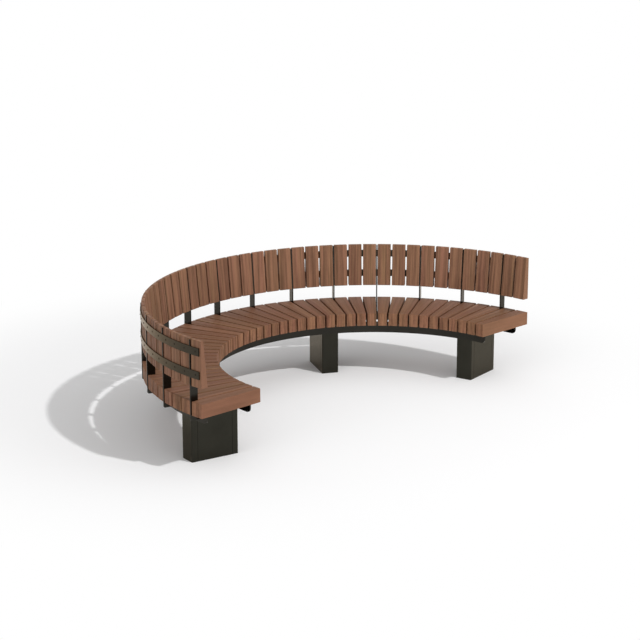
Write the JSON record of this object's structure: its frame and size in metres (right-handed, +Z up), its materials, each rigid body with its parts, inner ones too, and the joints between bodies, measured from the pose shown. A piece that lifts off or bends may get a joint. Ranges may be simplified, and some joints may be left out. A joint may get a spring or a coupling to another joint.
{
  "type": "semicircular bench",
  "caption": "Half-round bench with radial timber seat slats, tapered upright back slats on curved steel bands, plate supports, curved rails and box legs, open towards its centre.",
  "frame": {"origin": "on the ground, under the middle of the bench's bounding box", "axes": "+X along the bench's width towards the right end as a sitter at the middle faces away from it, +Y from the open side towards the back of the arc, +Z up"},
  "size_m": [3.1402, 1.5657, 0.85],
  "materials": {
    "seat_timber": "oiled hardwood, matt",
    "back_timber": "oiled hardwood, matt",
    "frame_coat": "dark powder coat, semi-matt",
    "leg_coat": "dark powder coat, semi-matt",
    "screw_steel": "dark coated steel"
  },
  "bodies": {
    "root": {"back_screws": "frame_coat", "back_slats_1": "back_timber", "back_slats_2": "back_timber", "back_slats_3": "back_timber", "back_slats_4": "back_timber", "back_slats_5": "back_timber", "back_slats_6": "back_timber", "back_slats_7": "back_timber", "back_slats_8": "back_timber", "back_slats_9": "back_timber", "inner_rail": "frame_coat", "leg_1_base_plate": "leg_coat", "leg_1_inner_channel": "leg_coat", "leg_1_outer_channel": "leg_coat", "leg_1_side_panels": "leg_coat", "leg_1_top_plate": "leg_coat", "leg_2_base_plate": "leg_coat", "leg_2_inner_channel": "leg_coat", "leg_2_outer_channel": "leg_coat", "leg_2_side_panels": "leg_coat", "leg_2_top_plate": "leg_coat", "leg_3_base_plate": "leg_coat", "leg_3_inner_channel": "leg_coat", "leg_3_outer_channel": "leg_coat", "leg_3_side_panels": "leg_coat", "leg_3_top_plate": "leg_coat", "leg_4_base_plate": "leg_coat", "leg_4_inner_channel": "leg_coat", "leg_4_outer_channel": "leg_coat", "leg_4_side_panels": "leg_coat", "leg_4_top_plate": "leg_coat", "lower_back_band": "frame_coat", "outer_rail": "frame_coat", "seat_screws": "screw_steel", "seat_slats_1": "seat_timber", "seat_slats_2": "seat_timber", "seat_slats_3": "seat_timber", "seat_slats_4": "seat_timber", "seat_slats_5": "seat_timber", "seat_slats_6": "seat_timber", "seat_slats_7": "seat_timber", "seat_slats_8": "seat_timber", "seat_slats_9": "seat_timber", "support_plate_1": "frame_coat", "support_plate_10": "frame_coat", "support_plate_11": "frame_coat", "support_plate_12": "frame_coat", "support_plate_13": "frame_coat", "support_plate_14": "frame_coat", "support_plate_15": "frame_coat", "support_plate_2": "frame_coat", "support_plate_3": "frame_coat", "support_plate_4": "frame_coat", "support_plate_5": "frame_coat", "support_plate_6": "frame_coat", "support_plate_7": "frame_coat", "support_plate_8": "frame_coat", "support_plate_9": "frame_coat", "upper_back_band": "frame_coat"}
  },
  "joints": []
}
